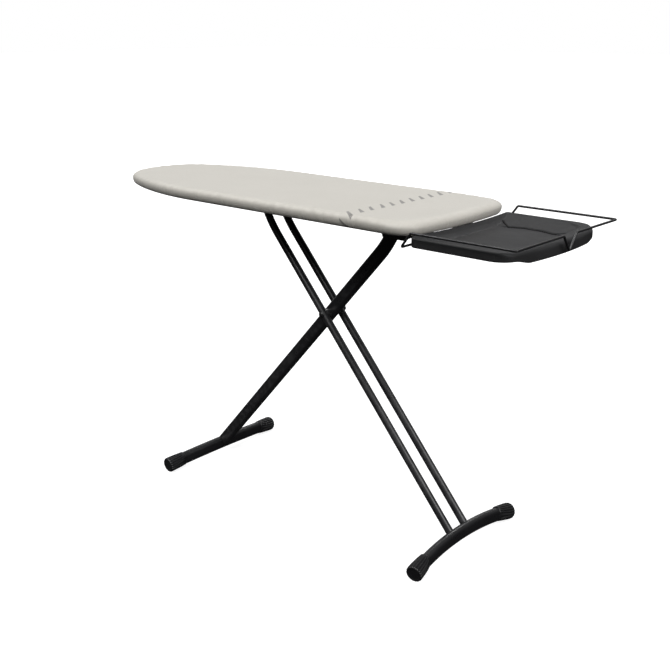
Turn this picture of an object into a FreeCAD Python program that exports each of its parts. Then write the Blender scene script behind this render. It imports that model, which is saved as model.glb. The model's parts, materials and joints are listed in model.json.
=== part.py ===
"""Ironing board on a folding X stand, with an iron tray and a wire guard.

Millimetres. X runs along the board from the nose to the tray, Y across it, Z up.
The origin is on the floor, at the middle of the whole object seen from above.
"""
import FreeCAD
import Part
import math
import os

Vector = FreeCAD.Vector
OUT = "parts"

# ---- driving dimensions -------------------------------------------------------------
BOARD_LENGTH = 1210.0
BOARD_WIDTH = 450.0
BOARD_TOP = 920.0
EDGE_HEIGHT = 35.5
GUARD_REACH = 283.5        # from the board's end to the outside of the wire guard
PIVOT_FROM_NOSE = 764.0
PIVOT_Z = 578.0
TOP_PIVOT_SPREAD = 227.0   # each upper pivot, along X from the crossing pivot
TOP_PIVOT_Z = 862.0
REAR_FOOT_SPREAD = 487.0   # foot bars, along X from the crossing pivot
FRONT_FOOT_SPREAD = 464.0
FOOT_BAR_HALF = 229.0
REAR_FOOT_ARCH = 11.0
FRONT_FOOT_ARCH = 24.0
TRAY_HALF_WIDTH = 217.5
GUARD_HALF_WIDTH = 233.8

# ---- plan of the board --------------------------------------------------------------
TIP_RADIUS = 240.0
SHOULDER_RADIUS = 140.0
FLANK_RADIUS = 810.0
FLANK_FROM_NOSE = 424.0
CORNER_RADIUS = 70.0
END_RADIUS = 1250.0

# ---- layers of the board ------------------------------------------------------------
COVER_THICK = 1.5
COVER_EDGE_RADIUS = 9.0
HEM_WIDTH = 34.0
PAD_THICK = 7.4
PANEL_THICK = 0.8
PANEL_INSET = 8.0
RIM_INSET = 18.0
RIM_WIDTH = 12.0
RIM_WALL = 1.6
LAYER_GAP = 0.2
SKIN_GAP = 0.4
MESH_PITCH_X = 52.0
MESH_PITCH_Y = 26.0
MESH_HOLE_X = 38.0
MESH_HOLE_Y = 19.0
MESH_MARGIN = 24.0
BRACE_WIDTH = 26.0
BRACE_THICK = 2.5

# ---- tubes and pins -----------------------------------------------------------------
OVAL_HEIGHT = 39.5
OVAL_WIDTH = 21.0
FOOT_HEIGHT = 41.0
FOOT_WIDTH = 25.0
TUBE_RADIUS = 11.0
TUBE_WALL = 1.2
TWIN_OFFSET = 33.8
OVAL_BEND = 300.0
TWIN_BEND = 320.0
OVAL_TAIL = 18.0
TWIN_TAIL = 14.0
PIN_RADIUS = 5.0
PIN_CLEARANCE = 0.05
SIDE_CLEARANCE = 0.5
BUSH_RADIUS = 12.5
CAP_RADIUS = 23.5
CAP_DRUM = 22.0
CAP_ROUND = 5.0
CAP_SECTIONS = (           # distance from the cap's end, height, width
    (62.0, 44.0, 31.5),
    (46.0, 45.2, 38.5),
    (21.0, 46.6, 45.6),
)
FLOOR_PATCH = 0.4

# ---- height rack and release --------------------------------------------------------
RACK_Y = 47.0
RACK_THICK = 2.5
RACK_FLANGE = 16.0
RACK_DROP = 14.0
SLOT_RADIUS = 6.5
ROD_TRAVEL = 268.0
NOTCH_COUNT = 6
NOTCH_PITCH = 45.0
ROD_HALF = 57.0
LEVER_SHAFT_RADIUS = 4.0
LEVER_SHAFT_Y = 15.0
LEVER_SHAFT_Z = 886.0
LEVER_REACH = 150.0
LEVER_WIDTH = 18.0
COMB_GAP = 0.6

# ---- tray, its carrier and the guard ------------------------------------------------
SHEET = 1.5
HOUSING_HALF = 48.5
HOUSING_LOW = 831.0
STRAP_NEAR = -30.0         # the strap's two edges, a little off the middle
STRAP_FAR = 48.0
STRAP_THICK = 3.0
STRAP_TOP = 883.5
STRAP_TAB = 20.0
SCREW_RADIUS = 1.8
TRAY_GAP = 3.0             # between the board's end and the tray
TRAY_LENGTH = 264.0
TRAY_TOP = 886.5
TRAY_SKIRT = 864.5
TRAY_DEEP_SKIRT = 855.0
DEEP_HALF_WIDTH = 128.0
DEEP_RAMP = 58.0
TRAY_FLOOR = 872.5
TRAY_WALL = 3.0
TRAY_CORNER = 46.0
TRAY_BACK_CORNER = 16.0
TRAY_END_RADIUS = 1000.0
TRAY_HOLLOW = 16.0
WIRE_RADIUS = 3.0
RAIL_Z = 902.0
GUARD_AXIS_Z = 866.0
GUARD_AXIS_BACK = 25.2     # guard hinge, behind the board's end
RAIL_START = 1.5
DIP_HALF = 30.0
DIP_TIP_Z = 865.5

# ---- derived ------------------------------------------------------------------------
NOSE_X = -(BOARD_LENGTH + GUARD_REACH) / 2
END_X = NOSE_X + BOARD_LENGTH
HALF_WIDTH = BOARD_WIDTH / 2
BOARD_BOTTOM = BOARD_TOP - EDGE_HEIGHT
PIVOT = Vector(NOSE_X + PIVOT_FROM_NOSE, 0, PIVOT_Z)
LEG_TOP = Vector(PIVOT.x + TOP_PIVOT_SPREAD, 0, TOP_PIVOT_Z)
ROD_REST = Vector(PIVOT.x - TOP_PIVOT_SPREAD, 0, TOP_PIVOT_Z)
PAD_TOP = BOARD_TOP - COVER_THICK - LAYER_GAP
PANEL_TOP = PAD_TOP - PAD_THICK - LAYER_GAP
RIM_TOP = PANEL_TOP - PANEL_THICK - LAYER_GAP
RIM_BOTTOM = BOARD_BOTTOM + COVER_THICK + LAYER_GAP
BRACE_BOTTOM = RIM_TOP - BRACE_THICK
FLANGE_TOP = BRACE_BOTTOM - LAYER_GAP
RACK_LEFT = ROD_REST.x - ROD_TRAVEL - 30.0
RACK_RIGHT = ROD_REST.x + 44.0
COMB_RIGHT = RACK_RIGHT + 34.0
TRAY_LEFT = END_X + TRAY_GAP
TRAY_RIGHT = TRAY_LEFT + TRAY_LENGTH
GUARD_X = END_X + GUARD_REACH - WIRE_RADIUS
GUARD_AXIS_X = END_X - GUARD_AXIS_BACK
HOUSING_LEFT = LEG_TOP.x - 18.0
HOUSING_RIGHT = LEG_TOP.x + 84.0
STRAP_STEP = TRAY_LEFT - 10.0
STRAP_RIGHT = TRAY_RIGHT - 58.0
STRAP_LOW = TRAY_FLOOR - TRAY_WALL - 0.3
Y_AXIS = Vector(0, 1, 0)
Z_AXIS = Vector(0, 0, 1)
X_AXIS = Vector(1, 0, 0)


# ---- small helpers ------------------------------------------------------------------
def unit(v):
    return v / v.Length


def box(x0, x1, y0, y1, z0, z1):
    return Part.makeBox(x1 - x0, y1 - y0, z1 - z0, Vector(x0, y0, z0))


def rod_between(a, b, radius):
    return Part.makeCylinder(radius, (b - a).Length, a, b - a)


def cross_pin(point, radius, y0, y1):
    """Round bar along Y through a point of the XZ plane."""
    return Part.makeCylinder(radius, y1 - y0, Vector(point.x, y0, point.z), Y_AXIS)


def mirrored(shape):
    """The same shape on the far side of the object's middle plane."""
    return shape.mirror(Vector(0, 0, 0), Y_AXIS)


def both_sides(shape):
    return Part.makeCompound([shape, mirrored(shape)])


def arc_about(centre, radius, a, b):
    middle = centre + unit((a + b) / 2 - centre) * radius
    return Part.Arc(a, middle, b).toShape()


def prism(wire, z0, z1):
    """Extrude a flat wire drawn at Z 0 from one height to another."""
    face = Part.Face(wire)
    face.translate(Vector(0, 0, z0))
    return face.extrude(Vector(0, 0, z1 - z0))


def inset(wire, distance):
    if distance == 0:
        return wire
    return wire.makeOffset2D(-distance)


def circles_meet(c1, r1, c2, r2):
    """The meeting point of two circles that has the smaller X."""
    span = c2 - c1
    along = (r1 * r1 - r2 * r2 + span.Length ** 2) / (2 * span.Length)
    across = math.sqrt(r1 * r1 - along * along)
    foot = c1 + unit(span) * along
    side = Vector(-span.y, span.x, 0)
    ends = [foot + unit(side) * across, foot - unit(side) * across]
    return min(ends, key=lambda p: p.x)


def swept(spine_edges, profile):
    return Part.Wire(spine_edges).makePipeShell([profile], True, False)


def stadium(centre, along, across, length, width):
    """Flat-oval wire: its long axis runs along one direction, its short one across."""
    along = unit(along)
    across = unit(across)
    r = width / 2
    h = length / 2 - r
    top = centre + along * h
    bottom = centre - along * h
    edges = [
        Part.Arc(top + across * r, top + along * r, top - across * r).toShape(),
        Part.LineSegment(top - across * r, bottom - across * r).toShape(),
        Part.Arc(bottom - across * r, bottom - along * r, bottom + across * r).toShape(),
        Part.LineSegment(bottom + across * r, top + across * r).toShape(),
    ]
    return Part.Wire(edges)


def write(name, shape):
    if not shape.isValid():
        print("not valid:", name)
    solids = shape.Solids
    if any(s.Volume <= 0 for s in solids) or not solids:
        print("bad solid:", name)
    shape.exportStep(os.path.join(OUT, name + ".step"))


# ---- the board ----------------------------------------------------------------------
def board_plan():
    """Outline of the covered board: round nose, long flanks, blunt tray end."""
    tip = Vector(NOSE_X + TIP_RADIUS, 0, 0)
    flank = Vector(NOSE_X + FLANK_FROM_NOSE, HALF_WIDTH - FLANK_RADIUS, 0)
    end = Vector(END_X - END_RADIUS, 0, 0)
    shoulder = circles_meet(tip, TIP_RADIUS - SHOULDER_RADIUS,
                            flank, FLANK_RADIUS - SHOULDER_RADIUS)
    corner_y = HALF_WIDTH - CORNER_RADIUS
    corner_x = end.x + math.sqrt((END_RADIUS - CORNER_RADIUS) ** 2 - corner_y ** 2)
    corner = Vector(corner_x, corner_y, 0)
    nose_point = Vector(NOSE_X, 0, 0)
    tip_end = tip + unit(shoulder - tip) * TIP_RADIUS
    flank_start = flank + unit(shoulder - flank) * FLANK_RADIUS
    side_start = Vector(flank.x, HALF_WIDTH, 0)
    side_end = Vector(corner.x, HALF_WIDTH, 0)
    end_start = end + unit(corner - end) * END_RADIUS
    end_point = Vector(END_X, 0, 0)
    half = [
        arc_about(tip, TIP_RADIUS, nose_point, tip_end),
        arc_about(shoulder, SHOULDER_RADIUS, tip_end, flank_start),
        arc_about(flank, FLANK_RADIUS, flank_start, side_start),
        Part.LineSegment(side_start, side_end).toShape(),
        arc_about(corner, CORNER_RADIUS, side_end, end_start),
        arc_about(end, END_RADIUS, end_start, end_point),
    ]
    edges = half + [mirrored(edge) for edge in half]
    return Part.Wire(Part.sortEdges(edges)[0])


def top_edges(shape, z):
    return [e for e in shape.Edges if abs(e.BoundBox.ZMin - z) < 1e-3]


def board_cover(plan):
    """Fabric cover: top sheet, side band and the hem that turns in under the rim."""
    outside = prism(plan, BOARD_BOTTOM, BOARD_TOP)
    outside = outside.makeFillet(COVER_EDGE_RADIUS, top_edges(outside, BOARD_TOP))
    inner_top = BOARD_TOP - COVER_THICK
    inside = prism(inset(plan, COVER_THICK), BOARD_BOTTOM + COVER_THICK, inner_top)
    inside = inside.makeFillet(COVER_EDGE_RADIUS - COVER_THICK, top_edges(inside, inner_top))
    opening = prism(inset(plan, HEM_WIDTH), BOARD_BOTTOM - 1, BOARD_BOTTOM + COVER_THICK + 1)
    return outside.cut(inside).cut(opening)


def foam_pad(plan):
    bottom = PAD_TOP - PAD_THICK
    pad = prism(inset(plan, COVER_THICK + SKIN_GAP), bottom, PAD_TOP)
    return pad.makeFillet(COVER_EDGE_RADIUS - COVER_THICK - SKIN_GAP, top_edges(pad, PAD_TOP))


def diamond(x, y):
    points = [
        Vector(x - MESH_HOLE_X / 2, y, 0),
        Vector(x, y + MESH_HOLE_Y / 2, 0),
        Vector(x + MESH_HOLE_X / 2, y, 0),
        Vector(x, y - MESH_HOLE_Y / 2, 0),
    ]
    return Part.makePolygon(points + points[:1])


def mesh_panel(plan):
    """Steel top plate with staggered diamond openings for the steam."""
    room = Part.Face(inset(plan, MESH_MARGIN + MESH_HOLE_X / 2))
    holes = []
    rows = int(HALF_WIDTH / MESH_PITCH_Y)
    columns = int(BOARD_LENGTH / MESH_PITCH_X)
    for row in range(-rows, rows + 1):
        shift = 0.5 * (row % 2)
        for column in range(columns):
            x = NOSE_X + (column + shift) * MESH_PITCH_X
            y = row * MESH_PITCH_Y
            if room.isInside(Vector(x, y, 0), 1e-3, True):
                holes.append(diamond(x, y))
    outer = inset(plan, PANEL_INSET)
    face = Part.makeFace([outer] + holes, "Part::FaceMakerBullseye")
    face.translate(Vector(0, 0, PANEL_TOP - PANEL_THICK))
    return face.extrude(Vector(0, 0, PANEL_THICK))


def inside_rim(plan, z0, z1):
    """The room enclosed by the rim's upright band."""
    return prism(inset(plan, RIM_INSET + RIM_WALL), z0, z1)


def rim_frame(plan):
    """Folded steel edge: an upright band with a flange turned in along its bottom."""
    outer = prism(inset(plan, RIM_INSET), RIM_BOTTOM, RIM_TOP)
    middle = prism(inset(plan, RIM_INSET + RIM_WIDTH), RIM_BOTTOM - 1, RIM_TOP + 1)
    return outer.cut(inside_rim(plan, RIM_BOTTOM + RIM_WALL, RIM_TOP + 1)).cut(middle)


def cross_brace(plan, x):
    """Flat strap across the board, welded between the two sides of the rim."""
    strap = box(x - BRACE_WIDTH / 2, x + BRACE_WIDTH / 2, -HALF_WIDTH, HALF_WIDTH,
                BRACE_BOTTOM, RIM_TOP)
    return strap.common(inside_rim(plan, BRACE_BOTTOM - 1, RIM_TOP + 1))


# ---- the height rack and its release ------------------------------------------------
def height_rack():
    """Near-side rack: a slotted plate with notches, hung from the braces by a flange."""
    y0 = -RACK_Y - RACK_THICK
    y1 = -RACK_Y
    plate = box(RACK_LEFT, RACK_RIGHT, y0, y1, TOP_PIVOT_Z - RACK_DROP, FLANGE_TOP)
    flange = box(RACK_LEFT, RACK_RIGHT, y0 - RACK_FLANGE, y0, FLANGE_TOP - SHEET, FLANGE_TOP)
    rack = plate.fuse(flange)
    slot_left = ROD_REST - Vector(ROD_TRAVEL, 0, 0)
    rack = rack.cut(cross_pin(ROD_REST, SLOT_RADIUS, y0 - 1, y1 + 1))
    rack = rack.cut(cross_pin(slot_left, SLOT_RADIUS, y0 - 1, y1 + 1))
    rack = rack.cut(box(slot_left.x, ROD_REST.x, y0 - 1, y1 + 1,
                        TOP_PIVOT_Z - SLOT_RADIUS, TOP_PIVOT_Z + SLOT_RADIUS))
    for i in range(NOTCH_COUNT):
        notch = ROD_REST + Vector(-i * NOTCH_PITCH, 0, SLOT_RADIUS - 2.0)
        rack = rack.cut(cross_pin(notch, PIN_RADIUS + 0.6, y0 - 1, y1 + 1))
    return rack.removeSplitter()


def lever_hangers():
    """Two saddles under the braces that carry the release shaft."""
    saddles = []
    for x in (RACK_LEFT + 8.0, RACK_RIGHT + 6.0):
        block = box(x, x + 8.0, LEVER_SHAFT_Y - 6.5, LEVER_SHAFT_Y + 6.5,
                    LEVER_SHAFT_Z - 8, FLANGE_TOP)
        bore = Part.makeCylinder(LEVER_SHAFT_RADIUS + PIN_CLEARANCE, 20,
                                 Vector(x - 5, LEVER_SHAFT_Y, LEVER_SHAFT_Z), X_AXIS)
        saddles.append(block.cut(bore))
    return Part.makeCompound(saddles)


def lever_shaft():
    start = Vector(RACK_LEFT + 4.0, LEVER_SHAFT_Y, LEVER_SHAFT_Z)
    end = Vector(COMB_RIGHT, LEVER_SHAFT_Y, LEVER_SHAFT_Z)
    return rod_between(start, end, LEVER_SHAFT_RADIUS)


def lock_comb():
    """Toothed plate on the shaft; its teeth stand between the rod's height positions."""
    rod_top = TOP_PIVOT_Z + PIN_RADIUS
    tooth_bottom = rod_top + COMB_GAP
    plate_bottom = tooth_bottom + 3.0
    left = ROD_REST.x - (NOTCH_COUNT - 0.4) * NOTCH_PITCH
    right = ROD_REST.x + 0.6 * NOTCH_PITCH
    web_y = LEVER_SHAFT_Y + LEVER_SHAFT_RADIUS
    plate = box(left, right, -18.0, web_y, plate_bottom, plate_bottom + 2.5)
    web = box(left, right, LEVER_SHAFT_Y - 1.5, LEVER_SHAFT_Y + 1.5,
              plate_bottom, LEVER_SHAFT_Z)
    comb = plate.fuse(web)
    for i in range(NOTCH_COUNT):
        x = ROD_REST.x - (i + 0.5) * NOTCH_PITCH
        comb = comb.fuse(box(x - 6, x + 6, -18.0, 4.0, tooth_bottom, plate_bottom + 1))
    return comb.cut(lever_shaft()).removeSplitter()


def release_lever():
    """Flat arm welded to the shaft's end, running out to the near side of the board."""
    x1 = COMB_RIGHT
    x0 = x1 - LEVER_WIDTH
    collar = Part.makeCylinder(LEVER_SHAFT_RADIUS + 4, LEVER_WIDTH,
                               Vector(x0, LEVER_SHAFT_Y, LEVER_SHAFT_Z), X_AXIS)
    arm = box(x0, x1, LEVER_SHAFT_Y - LEVER_REACH, LEVER_SHAFT_Y - 2,
              LEVER_SHAFT_Z - 8, LEVER_SHAFT_Z - 5)
    return collar.fuse(arm).cut(lever_shaft()).removeSplitter()


def lever_grip():
    """Moulded sleeve pushed over the end of the lever."""
    x1 = COMB_RIGHT + 4
    x0 = x1 - LEVER_WIDTH - 8
    y0 = LEVER_SHAFT_Y - LEVER_REACH - 4
    body = box(x0, x1, y0, y0 + 56, LEVER_SHAFT_Z - 12, LEVER_SHAFT_Z - 1)
    body = body.makeFillet(4.0, [e for e in body.Edges])
    return body.cut(release_lever())


def lever_spring():
    """Torsion spring coiled round the shaft beside the lever."""
    wire_r = 0.7
    coil_r = LEVER_SHAFT_RADIUS + 2.2
    pitch = 2.2
    turns = 4
    helix = Part.makeHelix(pitch, pitch * turns, coil_r)
    section = Part.Wire(Part.Circle(Vector(coil_r, 0, 0), Y_AXIS, wire_r).toShape())
    coil = Part.Wire(helix.Edges).makePipeShell([section], True, True)
    coil.rotate(Vector(0, 0, 0), Y_AXIS, 90)
    coil.translate(Vector(RACK_RIGHT + 6.0 - pitch * turns - wire_r, LEVER_SHAFT_Y, LEVER_SHAFT_Z))
    return coil


# ---- the hinge under the tray end ---------------------------------------------------
def hinge_housing():
    """Folded sheet housing, open below and towards the nose, round the leg's top hinge."""
    corners = [(HOUSING_LEFT, FLANGE_TOP), (HOUSING_LEFT, HOUSING_LOW + 24),
               (HOUSING_LEFT + 10, HOUSING_LOW), (HOUSING_RIGHT - 24, HOUSING_LOW),
               (HOUSING_RIGHT, HOUSING_LOW + 11), (HOUSING_RIGHT, FLANGE_TOP)]
    points = [Vector(x, -HOUSING_HALF, z) for x, z in corners]
    side = Part.Face(Part.makePolygon(points + points[:1]))
    solid = side.extrude(Y_AXIS * (2 * HOUSING_HALF))
    room = box(HOUSING_LEFT - 1, HOUSING_RIGHT - SHEET, SHEET - HOUSING_HALF,
               HOUSING_HALF - SHEET, HOUSING_LOW - 1, FLANGE_TOP - SHEET)
    return solid.cut(room)


def leg_hinge_bracket():
    """U-shaped bracket whose two cheeks hold the leg's top pin."""
    inner = OVAL_WIDTH / 2 + SIDE_CLEARANCE
    outer = inner + 3.0
    top = FLANGE_TOP - SHEET - LAYER_GAP
    cheek = box(LEG_TOP.x - 18, LEG_TOP.x + 20, inner, outer, LEG_TOP.z, top - SHEET)
    cheek = cheek.fuse(cross_pin(LEG_TOP, 20, inner, outer))
    cheek = cheek.cut(cross_pin(LEG_TOP, PIN_RADIUS, inner - 1, outer + 1))
    flange = box(LEG_TOP.x - 18, LEG_TOP.x + 20, -40, 40, top - SHEET, top)
    return cheek.fuse(mirrored(cheek)).fuse(flange).removeSplitter()


def hinge_pin():
    half = OVAL_WIDTH / 2 + SIDE_CLEARANCE + 6.0
    return cross_pin(LEG_TOP, PIN_RADIUS, -half, half)


def hinge_pin_clips():
    """Spring washers pressed on the pin's ends, outside the cheeks."""
    y0 = OVAL_WIDTH / 2 + SIDE_CLEARANCE + 3.0
    ring = cross_pin(LEG_TOP, 9.0, y0, y0 + 1.5)
    ring = ring.cut(cross_pin(LEG_TOP, PIN_RADIUS, y0 - 1, y0 + 3))
    return both_sides(ring)


# ---- legs ---------------------------------------------------------------------------
def bent_path(foot, top, bend, tail):
    """Straight from the foot through the crossing, then an arc up through the top pivot."""
    t = unit(PIVOT - foot)
    n = Vector(-t.z, 0, t.x)
    if n.z < 0:
        n = n * -1
    along = (top - PIVOT).dot(t)
    off = (top - PIVOT).dot(n)
    reach = math.sqrt(2 * bend * off - off * off)
    start = PIVOT + t * (along - reach)
    centre = start + n * bend
    end_tangent = unit(Vector(-(top - centre).z, 0, (top - centre).x))
    if end_tangent.z < 0:
        end_tangent = end_tangent * -1
    return [
        Part.LineSegment(foot, start).toShape(),
        arc_about(centre, bend, start, top),
        Part.LineSegment(top, top + end_tangent * tail).toShape(),
    ]


def end_tangent_of(edges):
    a, b = edges[-1].Vertexes[0].Point, edges[-1].Vertexes[-1].Point
    return unit(b - a)


def hollow_oval_leg(foot, length, width):
    edges = bent_path(foot, LEG_TOP, OVAL_BEND, OVAL_TAIL)
    t = unit(PIVOT - foot)
    n = Vector(-t.z, 0, t.x)
    return swept(edges, stadium(foot, n, Y_AXIS, length, width))


def inner_leg_tube(foot, bar):
    tube = hollow_oval_leg(foot, OVAL_HEIGHT, OVAL_WIDTH)
    bore = hollow_oval_leg(foot, OVAL_HEIGHT - 2 * TUBE_WALL, OVAL_WIDTH - 2 * TUBE_WALL)
    tube = tube.cut(bore).cut(bar)
    reach = OVAL_WIDTH
    for point in (LEG_TOP, PIVOT):
        tube = tube.cut(cross_pin(point, PIN_RADIUS + PIN_CLEARANCE, -reach, reach))
    return max(tube.Solids, key=lambda s: s.Volume)


def leg_plug(foot):
    """Solid nylon insert in the top of the oval leg, bored for the hinge pin."""
    bore = hollow_oval_leg(foot, OVAL_HEIGHT - 2 * TUBE_WALL, OVAL_WIDTH - 2 * TUBE_WALL)
    region = box(LEG_TOP.x - 60, LEG_TOP.x + 60, -20, 20, LEG_TOP.z - 30, LEG_TOP.z + 60)
    plug = bore.common(region)
    return plug.cut(cross_pin(LEG_TOP, PIN_RADIUS + PIN_CLEARANCE, -20, 20))


def round_leg(foot, radius):
    edges = bent_path(foot, ROD_REST, TWIN_BEND, TWIN_TAIL)
    profile = Part.Wire(Part.Circle(foot, PIVOT - foot, radius).toShape())
    return swept(edges, profile)


def twin_tube(foot, bar, side):
    """One round leg tube, bored for the crossing bolt and the slider rod."""
    tube = round_leg(foot, TUBE_RADIUS).cut(round_leg(foot, TUBE_RADIUS - TUBE_WALL))
    tube.translate(Vector(0, side * TWIN_OFFSET, 0))
    tube = tube.cut(bar)
    for point in (ROD_REST, PIVOT):
        tube = tube.cut(cross_pin(point, PIN_RADIUS, -60, 60))
    return max(tube.Solids, key=lambda s: s.Volume)


def twin_tube_plugs(foot):
    """Push-in plugs that close the tops of the two round tubes."""
    t = end_tangent_of(bent_path(foot, ROD_REST, TWIN_BEND, TWIN_TAIL))
    tip = ROD_REST + t * TWIN_TAIL + Vector(0, TWIN_OFFSET, 0)
    stem = rod_between(tip - t * 6.0, tip, TUBE_RADIUS - TUBE_WALL)
    head = rod_between(tip, tip + t * 2.0, TUBE_RADIUS)
    return both_sides(stem.fuse(head).removeSplitter())


def slider_rod():
    return cross_pin(ROD_REST, PIN_RADIUS, -ROD_HALF, ROD_HALF)


def slider_end_caps():
    y0 = RACK_Y + RACK_THICK + 1.5
    cap = cross_pin(ROD_REST, 9.0, y0, ROD_HALF + 2.0)
    cap = cap.makeFillet(2.0, [e for e in cap.Edges if abs(e.BoundBox.YMin - ROD_HALF - 2) < 1e-3])
    return both_sides(cap.cut(slider_rod()))


# ---- the crossing pivot -------------------------------------------------------------
def pivot_bolt():
    """Domed bolt that runs through both round tubes and the oval leg."""
    face = TWIN_OFFSET + TUBE_RADIUS
    shank = cross_pin(PIVOT, PIN_RADIUS, -face, face + 8.0)
    dome = Part.makeSphere(11.0, Vector(PIVOT.x, -face + 5.5, PIVOT.z))
    dome = dome.common(box(PIVOT.x - 20, PIVOT.x + 20, -face - 20, -face,
                           PIVOT.z - 20, PIVOT.z + 20))
    return shank.fuse(dome).removeSplitter()


def pivot_nut():
    face = TWIN_OFFSET + TUBE_RADIUS
    points = []
    for i in range(7):
        angle = math.radians(60 * i)
        points.append(Vector(PIVOT.x + 9.6 * math.cos(angle), face, PIVOT.z + 9.6 * math.sin(angle)))
    nut = Part.Face(Part.makePolygon(points)).extrude(Y_AXIS * 7.0)
    return nut.cut(cross_pin(PIVOT, PIN_RADIUS, face - 1, face + 20))


def pivot_bushes(tube_outer):
    """Spacer bushes between the oval leg and each round tube."""
    y0 = OVAL_WIDTH / 2 + SIDE_CLEARANCE
    bush = cross_pin(PIVOT, BUSH_RADIUS, y0, TWIN_OFFSET)
    bush = bush.cut(tube_outer).cut(cross_pin(PIVOT, PIN_RADIUS, y0 - 1, TWIN_OFFSET + 1))
    bush = max(bush.Solids, key=lambda s: s.Volume)
    return both_sides(bush)


# ---- foot bars and caps -------------------------------------------------------------
def foot_points(spread, arch, lean):
    """Middle and near end of a foot bar that arches up along its leg."""
    tilt = math.atan2(2 * arch * lean.z, FOOT_BAR_HALF)
    end_z = CAP_RADIUS * math.cos(tilt) - FLOOR_PATCH - CAP_ROUND * math.sin(tilt)
    middle = Vector(PIVOT.x + spread, 0, end_z + arch * lean.z)
    end = middle - lean * arch - Y_AXIS * FOOT_BAR_HALF
    return middle, end


def bar_shape(middle, end, length, width):
    far_end = Vector(end.x, -end.y, end.z)
    arc = Part.Arc(end, middle, far_end).toShape()
    tangent = arc.tangentAt(arc.FirstParameter)
    up = Z_AXIS - tangent * Z_AXIS.dot(tangent)
    return swept([arc], stadium(end, up, up.cross(tangent), length, width))


def foot_bar(middle, end):
    """Arched flat-oval tube, open inside, cut back so that the caps close its ends."""
    outside = bar_shape(middle, end, FOOT_HEIGHT, FOOT_WIDTH)
    inside = bar_shape(middle, end, FOOT_HEIGHT - 2 * TUBE_WALL, FOOT_WIDTH - 2 * TUBE_WALL)
    keep = FOOT_BAR_HALF - CAP_ROUND
    bar = outside.cut(inside)
    room = box(end.x - 80, end.x + 80, -keep, keep, -50, 200)
    return bar.common(room)


def foot_cap(middle, end):
    """Near-end cap: oval where it grips the tube, round at its end, flat where it stands."""
    far_end = Vector(end.x, -end.y, end.z)
    arc = Part.Arc(end, middle, far_end).toShape()
    outward = unit(arc.tangentAt(arc.FirstParameter)) * -1
    up = unit(Z_AXIS - outward * Z_AXIS.dot(outward))
    side = up.cross(outward)
    wires = []
    for back, height, width in CAP_SECTIONS:
        wires.append(stadium(end - outward * back, up, side, height, width))
    drum = rod_between(end - outward * CAP_DRUM, end, CAP_RADIUS)
    rim = [e for e in drum.Edges if abs((e.CenterOfMass - end).dot(outward)) < 0.5]
    drum = drum.makeFillet(CAP_ROUND, rim)
    cap = Part.makeLoft(wires, True, False).fuse(drum)
    bar_room = bar_shape(middle, end, FOOT_HEIGHT, FOOT_WIDTH)
    keep = FOOT_BAR_HALF - CAP_ROUND
    bar_room = bar_room.common(box(end.x - 80, end.x + 80, -keep, 0, -50, 200))
    floor = box(end.x - 80, end.x + 80, end.y - 80, end.y + 120, -20, 0)
    return cap.cut(bar_room).cut(floor)


# ---- tray and guard -----------------------------------------------------------------
def tray_carrier():
    """Bent steel strap from the hinge housing out below the tray, with the guard's two lugs."""
    left = HOUSING_RIGHT + 0.1
    corners = [(left, STRAP_TOP), (left, STRAP_TOP - STRAP_TAB),
               (left + STRAP_THICK, STRAP_TOP - STRAP_TAB),
               (left + STRAP_THICK, STRAP_TOP - STRAP_THICK),
               (STRAP_STEP - STRAP_THICK, STRAP_TOP - STRAP_THICK),
               (STRAP_STEP - STRAP_THICK, STRAP_LOW - STRAP_THICK),
               (STRAP_RIGHT, STRAP_LOW - STRAP_THICK), (STRAP_RIGHT, STRAP_LOW),
               (STRAP_STEP, STRAP_LOW), (STRAP_STEP, STRAP_TOP)]
    points = [Vector(x, STRAP_NEAR, z) for x, z in corners]
    side = Part.Face(Part.makePolygon(points + points[:1]))
    strap = side.extrude(Y_AXIS * (STRAP_FAR - STRAP_NEAR))
    for y in (STRAP_NEAR, STRAP_FAR - 5):
        strap = strap.fuse(box(GUARD_AXIS_X - 6.5, STRAP_STEP, y, y + 5,
                               GUARD_AXIS_Z - 6, GUARD_AXIS_Z + 6))
    axis = Vector(GUARD_AXIS_X, 0, GUARD_AXIS_Z)
    strap = strap.cut(cross_pin(axis, WIRE_RADIUS + PIN_CLEARANCE, -60, 60))
    return strap.cut(screw_shanks(SCREW_RADIUS + 0.2)).removeSplitter()


def tray_plan():
    """Outline of the tray: hollowed towards the board, bulging at its outer end."""
    end = Vector(TRAY_RIGHT - TRAY_END_RADIUS, 0, 0)
    corner_y = TRAY_HALF_WIDTH - TRAY_CORNER
    corner_x = end.x + math.sqrt((TRAY_END_RADIUS - TRAY_CORNER) ** 2 - corner_y ** 2)
    corner = Vector(corner_x, corner_y, 0)
    hollow_radius = (TRAY_HALF_WIDTH ** 2 + TRAY_HOLLOW ** 2) / (2 * TRAY_HOLLOW)
    hollow = Vector(TRAY_LEFT - hollow_radius, 0, 0)
    back_y = TRAY_HALF_WIDTH - TRAY_BACK_CORNER
    back_x = hollow.x + math.sqrt((hollow_radius + TRAY_BACK_CORNER) ** 2 - back_y ** 2)
    back = Vector(back_x, back_y, 0)
    back_start = hollow + unit(back - hollow) * hollow_radius
    back_end = Vector(back_x, TRAY_HALF_WIDTH, 0)
    side_end = Vector(corner.x, TRAY_HALF_WIDTH, 0)
    end_start = end + unit(corner - end) * TRAY_END_RADIUS
    half = [
        arc_about(hollow, hollow_radius, Vector(TRAY_LEFT, 0, 0), back_start),
        arc_about(back, TRAY_BACK_CORNER, back_start, back_end),
        Part.LineSegment(back_end, side_end).toShape(),
        arc_about(corner, TRAY_CORNER, side_end, end_start),
        arc_about(end, TRAY_END_RADIUS, end_start, Vector(TRAY_RIGHT, 0, 0)),
    ]
    edges = half + [mirrored(edge) for edge in half]
    return Part.Wire(Part.sortEdges(edges)[0])


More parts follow.
